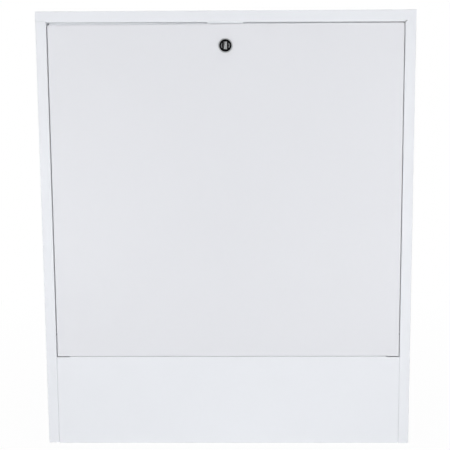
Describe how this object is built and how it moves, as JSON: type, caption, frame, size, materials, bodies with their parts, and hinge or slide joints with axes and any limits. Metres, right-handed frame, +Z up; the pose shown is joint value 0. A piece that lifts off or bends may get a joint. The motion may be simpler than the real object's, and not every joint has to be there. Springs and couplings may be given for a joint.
{
  "type": "underfloor heating manifold",
  "caption": "Underfloor heating manifold with flow meters, hand caps and ball valves in a white surface-mounted steel cabinet with a tilting, coin-locked door.",
  "frame": {"origin": "centre of the bounding box at the case's bottom edge", "axes": "+X to the right as seen from the front, +Y to the wall, +Z up; the door faces -Y"},
  "size_m": [0.6016, 0.1526, 0.705],
  "materials": {
    "white_powder_coat": "satin powder coat",
    "galvanised": "galvanised",
    "zinc_plated": "bright zinc",
    "lock_chrome": "polished",
    "nickel": "nickel plated",
    "stainless": "satin",
    "black_plastic": "matt",
    "rubber": "matt",
    "clear_glass": "clear",
    "red_plastic": "satin",
    "blue_plastic": "satin"
  },
  "bodies": {
    "case": {"back_panel": "white_powder_coat", "top_panel": "white_powder_coat", "left_side": "white_powder_coat", "right_side": "white_powder_coat", "apron_panel": "white_powder_coat", "apron_screws": "zinc_plated", "case_rivets": "white_powder_coat", "lock_keeper": "white_powder_coat", "hinge_pins": "zinc_plated", "door_buffers": "rubber", "upper_rail": "galvanised", "lower_rail": "galvanised", "rail_studs": "zinc_plated", "pipe_guide": "galvanised", "manifold_brackets": "galvanised", "bracket_bolts": "zinc_plated", "clamp_caps": "galvanised", "clamp_liners": "rubber", "clamp_screws": "zinc_plated", "supply_bar": "stainless", "return_bar": "stainless", "outlet_nipples": "nickel", "flow_meter_seats": "nickel", "flow_glasses": "clear_glass", "valve_inserts": "nickel", "supply_valve_body": "nickel", "return_valve_body": "nickel", "union_nuts": "nickel", "flat_seals": "rubber", "supply_end_piece": "nickel", "return_end_piece": "nickel"},
    "door": {"door_panel": "white_powder_coat", "lock_bezel": "lock_chrome", "lock_sleeve": "black_plastic", "lock_nut": "zinc_plated"},
    "lock": {"lock_rotor": "lock_chrome", "lock_cam": "zinc_plated", "lock_screw": "zinc_plated"},
    "supply_valve": {"supply_ball": "lock_chrome", "supply_handle": "red_plastic", "supply_handle_screw": "zinc_plated"},
    "return_valve": {"return_ball": "lock_chrome", "return_handle": "blue_plastic", "return_handle_screw": "zinc_plated"},
    "supply_vent": {"supply_vent_screw": "black_plastic"},
    "return_vent": {"return_vent_screw": "black_plastic"},
    "supply_drain": {"supply_drain_cap": "black_plastic"},
    "return_drain": {"return_drain_cap": "black_plastic"},
    "ring_1": {"flow_ring_1": "black_plastic"},
    "float_1": {"flow_float_1": "red_plastic"},
    "cap_1": {"valve_cap_1": "blue_plastic"},
    "ring_2": {"flow_ring_2": "black_plastic"},
    "float_2": {"flow_float_2": "red_plastic"},
    "cap_2": {"valve_cap_2": "blue_plastic"},
    "ring_3": {"flow_ring_3": "black_plastic"},
    "float_3": {"flow_float_3": "red_plastic"},
    "cap_3": {"valve_cap_3": "blue_plastic"},
    "ring_4": {"flow_ring_4": "black_plastic"},
    "float_4": {"flow_float_4": "red_plastic"},
    "cap_4": {"valve_cap_4": "blue_plastic"}
  },
  "joints": [
    {"name": "door_tilt", "type": "hinge", "parent": "case", "child": "door", "pos_m": [0, -0.06875, 0.1846], "axis": [1, 0, 0], "range_deg": [0, 90]},
    {"name": "lock_turn", "type": "hinge", "parent": "door", "child": "lock", "pos_m": [0, -0.07375, 0.6507], "axis": [0, -1, 0], "range_deg": [0, 90]},
    {"name": "supply_valve_turn", "type": "hinge", "parent": "case", "child": "supply_valve", "pos_m": [-0.129, 0.03625, 0.48], "axis": [0, 1, 0], "range_deg": [0, 90]},
    {"name": "return_valve_turn", "type": "hinge", "parent": "case", "child": "return_valve", "pos_m": [-0.129, -0.00375, 0.27], "axis": [0, 1, 0], "range_deg": [0, 90]},
    {"name": "supply_vent_turn", "type": "hinge", "parent": "case", "child": "supply_vent", "pos_m": [0.139, 0.03625, 0.48], "axis": [0, 0, 1], "range_deg": [0, 360]},
    {"name": "return_vent_turn", "type": "hinge", "parent": "case", "child": "return_vent", "pos_m": [0.139, -0.00375, 0.27], "axis": [0, 0, 1], "range_deg": [0, 360]},
    {"name": "supply_drain_turn", "type": "hinge", "parent": "case", "child": "supply_drain", "pos_m": [0.149, 0.03625, 0.48], "axis": [0, -1, 0], "range_deg": [0, 360]},
    {"name": "return_drain_turn", "type": "hinge", "parent": "case", "child": "return_drain", "pos_m": [0.149, -0.00375, 0.27], "axis": [0, -1, 0], "range_deg": [0, 360]},
    {"name": "ring_1_turn", "type": "hinge", "parent": "case", "child": "ring_1", "pos_m": [-0.061, 0.03625, 0.48], "axis": [0, 0, 1], "range_deg": [0, 720]},
    {"name": "float_1_slide", "type": "slide", "parent": "case", "child": "float_1", "axis": [0, 0, -1], "range_m": [0, 0.024], "stiffness_N_per_m": 20, "springref_m": -0.002},
    {"name": "cap_1_turn", "type": "hinge", "parent": "case", "child": "cap_1", "pos_m": [-0.061, -0.00375, 0.27], "axis": [0, 0, 1], "range_deg": [0, 720]},
    {"name": "ring_2_turn", "type": "hinge", "parent": "case", "child": "ring_2", "pos_m": [-0.011, 0.03625, 0.48], "axis": [0, 0, 1], "range_deg": [0, 720]},
    {"name": "float_2_slide", "type": "slide", "parent": "case", "child": "float_2", "axis": [0, 0, -1], "range_m": [0, 0.024], "stiffness_N_per_m": 20, "springref_m": -0.002},
    {"name": "cap_2_turn", "type": "hinge", "parent": "case", "child": "cap_2", "pos_m": [-0.011, -0.00375, 0.27], "axis": [0, 0, 1], "range_deg": [0, 720]},
    {"name": "ring_3_turn", "type": "hinge", "parent": "case", "child": "ring_3", "pos_m": [0.039, 0.03625, 0.48], "axis": [0, 0, 1], "range_deg": [0, 720]},
    {"name": "float_3_slide", "type": "slide", "parent": "case", "child": "float_3", "axis": [0, 0, -1], "range_m": [0, 0.024], "stiffness_N_per_m": 20, "springref_m": -0.002},
    {"name": "cap_3_turn", "type": "hinge", "parent": "case", "child": "cap_3", "pos_m": [0.039, -0.00375, 0.27], "axis": [0, 0, 1], "range_deg": [0, 720]},
    {"name": "ring_4_turn", "type": "hinge", "parent": "case", "child": "ring_4", "pos_m": [0.089, 0.03625, 0.48], "axis": [0, 0, 1], "range_deg": [0, 720]},
    {"name": "float_4_slide", "type": "slide", "parent": "case", "child": "float_4", "axis": [0, 0, -1], "range_m": [0, 0.024], "stiffness_N_per_m": 20, "springref_m": -0.002},
    {"name": "cap_4_turn", "type": "hinge", "parent": "case", "child": "cap_4", "pos_m": [0.089, -0.00375, 0.27], "axis": [0, 0, 1], "range_deg": [0, 720]}
  ]
}
